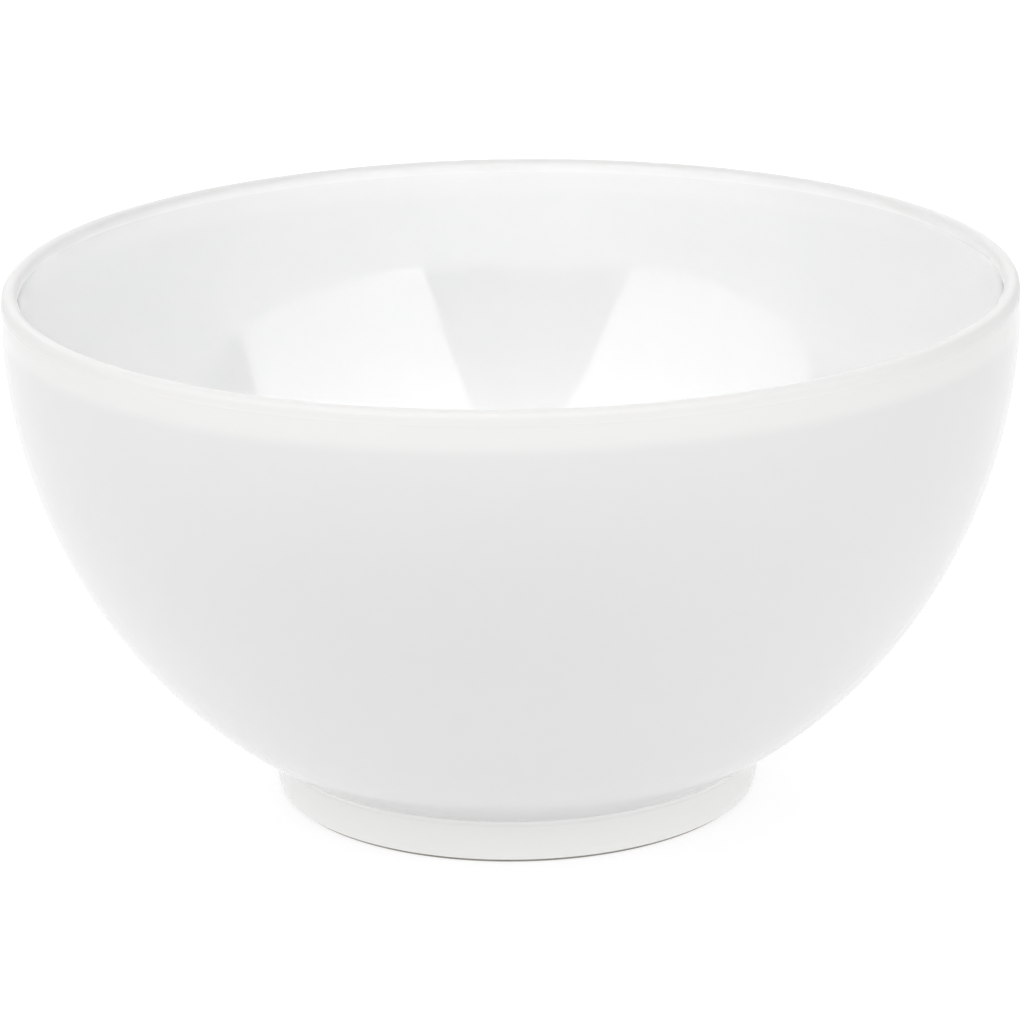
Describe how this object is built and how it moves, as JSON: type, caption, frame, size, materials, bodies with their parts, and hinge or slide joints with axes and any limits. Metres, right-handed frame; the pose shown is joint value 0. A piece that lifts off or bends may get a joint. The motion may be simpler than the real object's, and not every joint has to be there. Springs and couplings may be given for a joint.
{
  "type": "shaving bowl",
  "caption": "Deep round white porcelain shaving bowl with a thin rounded lip, standing on a low luted foot ring.",
  "frame": {"origin": "centre of the circle that the foot ring stands on, at table height", "axes": "+Z is the turning axis, up through the mouth; X and Y are any two directions across the bowl, which is the same all round"},
  "size_m": [0.12, 0.12, 0.0635],
  "materials": {
    "white_glaze": "gloss",
    "foot_glaze": "gloss",
    "bare_porcelain": "matte"
  },
  "bodies": {
    "root": {"bowl": "white_glaze", "foot_ring": "foot_glaze"}
  },
  "joints": []
}
